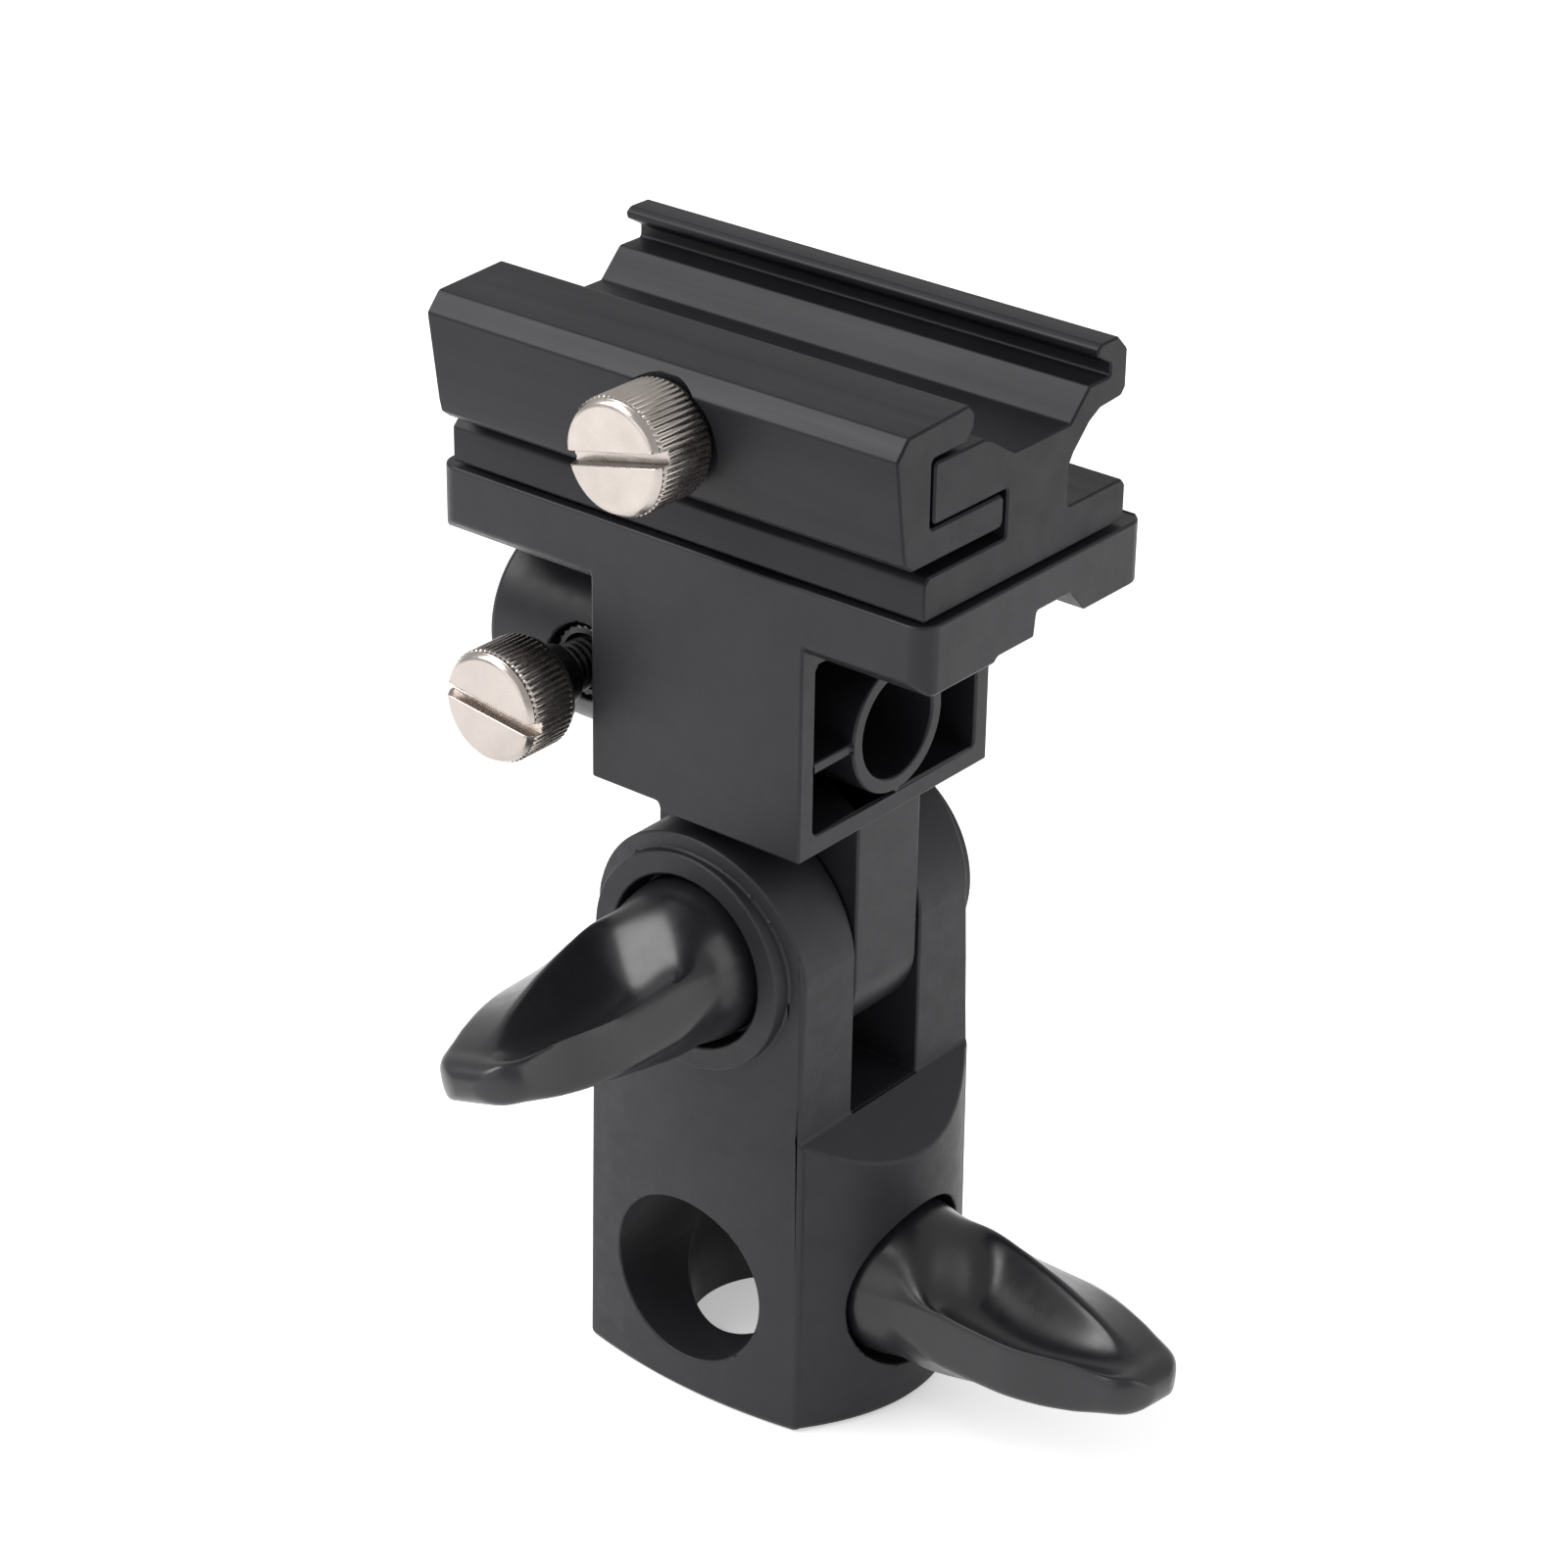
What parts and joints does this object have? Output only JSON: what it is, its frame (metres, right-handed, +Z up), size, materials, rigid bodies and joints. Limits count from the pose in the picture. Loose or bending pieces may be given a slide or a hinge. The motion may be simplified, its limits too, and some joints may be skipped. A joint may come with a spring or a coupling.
{
  "type": "umbrella swivel bracket",
  "caption": "Tilting stand bracket with a stud socket and wing-knob locks, a cross hole for an umbrella shaft and a clamping flash shoe on top.",
  "frame": {"origin": "on the ground plane under the middle of the bounding box, level with the foot of the stand socket", "axes": "+Z up along the stand socket's bore, +X along the shoe and the stand lock knob, -Y towards the tilt knob and the shoe's thumb screw"},
  "size_m": [0.073, 0.0604, 0.1034],
  "materials": {
    "stand_body": "satin black, fine moulded grain",
    "stand_lock_bush": "dark, oxidised",
    "tilt_bolt": "zinc plated",
    "tilt_washer": "zinc plated",
    "stand_lock_knob": "semi-gloss black",
    "stand_lock_stud": "zinc plated",
    "tilt_knob": "semi-gloss black",
    "tilt_knob_nut": "turned, dull",
    "umbrella_holder": "satin black, fine moulded grain",
    "friction_disc_near": "unfilled nylon",
    "friction_disc_far": "unfilled nylon",
    "umbrella_lock_bush": "dark, oxidised",
    "shoe_rail": "satin black coat on extruded aluminium",
    "shoe_screw_front": "black oxide",
    "shoe_screw_rear": "black oxide",
    "shoe_washer_front": "zinc plated",
    "shoe_washer_rear": "zinc plated",
    "umbrella_lock_screw": "nickel plated, knurled",
    "shoe_jaw": "satin black coat on extruded aluminium",
    "jaw_lock_screw": "nickel plated, knurled"
  },
  "bodies": {
    "stand": {"stand_body": "stand_body", "stand_lock_bush": "stand_lock_bush", "tilt_bolt": "tilt_bolt", "tilt_washer": "tilt_washer"},
    "stand_lock": {"stand_lock_knob": "stand_lock_knob", "stand_lock_stud": "stand_lock_stud"},
    "tilt_clamp": {"tilt_knob": "tilt_knob", "tilt_knob_nut": "tilt_knob_nut"},
    "head": {"umbrella_holder": "umbrella_holder", "friction_disc_near": "friction_disc_near", "friction_disc_far": "friction_disc_far", "umbrella_lock_bush": "umbrella_lock_bush", "shoe_rail": "shoe_rail", "shoe_screw_front": "shoe_screw_front", "shoe_screw_rear": "shoe_screw_rear", "shoe_washer_front": "shoe_washer_front", "shoe_washer_rear": "shoe_washer_rear"},
    "umbrella_lock": {"umbrella_lock_screw": "umbrella_lock_screw"},
    "jaw": {"shoe_jaw": "shoe_jaw"},
    "jaw_screw": {"jaw_lock_screw": "jaw_lock_screw"}
  },
  "joints": [
    {"name": "head_tilt", "type": "hinge", "parent": "stand", "child": "head", "pos_m": [-0.0074, 0.0124, 0.0459], "axis": [0, 1, 0], "range_deg": [-85, 85]},
    {"name": "tilt_knob_turn", "type": "hinge", "parent": "stand", "child": "tilt_clamp", "pos_m": [-0.0074, 0.0012, 0.0459], "axis": [0, -1, 0], "range_deg": [0, 360]},
    {"name": "stand_lock_turn", "type": "hinge", "parent": "stand", "child": "stand_lock", "pos_m": [0.0051, 0.0124, 0.0123], "axis": [1, 0, 0], "range_deg": [0, 720]},
    {"name": "umbrella_lock_turn", "type": "hinge", "parent": "head", "child": "umbrella_lock", "pos_m": [-0.0241, -0.0025, 0.068], "axis": [0, -1, 0], "range_deg": [0, 1080]},
    {"name": "jaw_screw_turn", "type": "hinge", "parent": "jaw", "child": "jaw_screw", "pos_m": [-0.0074, -0.0041, 0.097], "axis": [0, -1, 0], "range_deg": [0, 1860]},
    {"name": "jaw_slide", "type": "slide", "parent": "head", "child": "jaw", "axis": [0, -1, 0], "range_m": [0, 0.0036]}
  ],
  "couplings": [
    {"joint": "jaw_screw_turn", "follows": "jaw_slide", "rad_per_m": 8976}
  ]
}
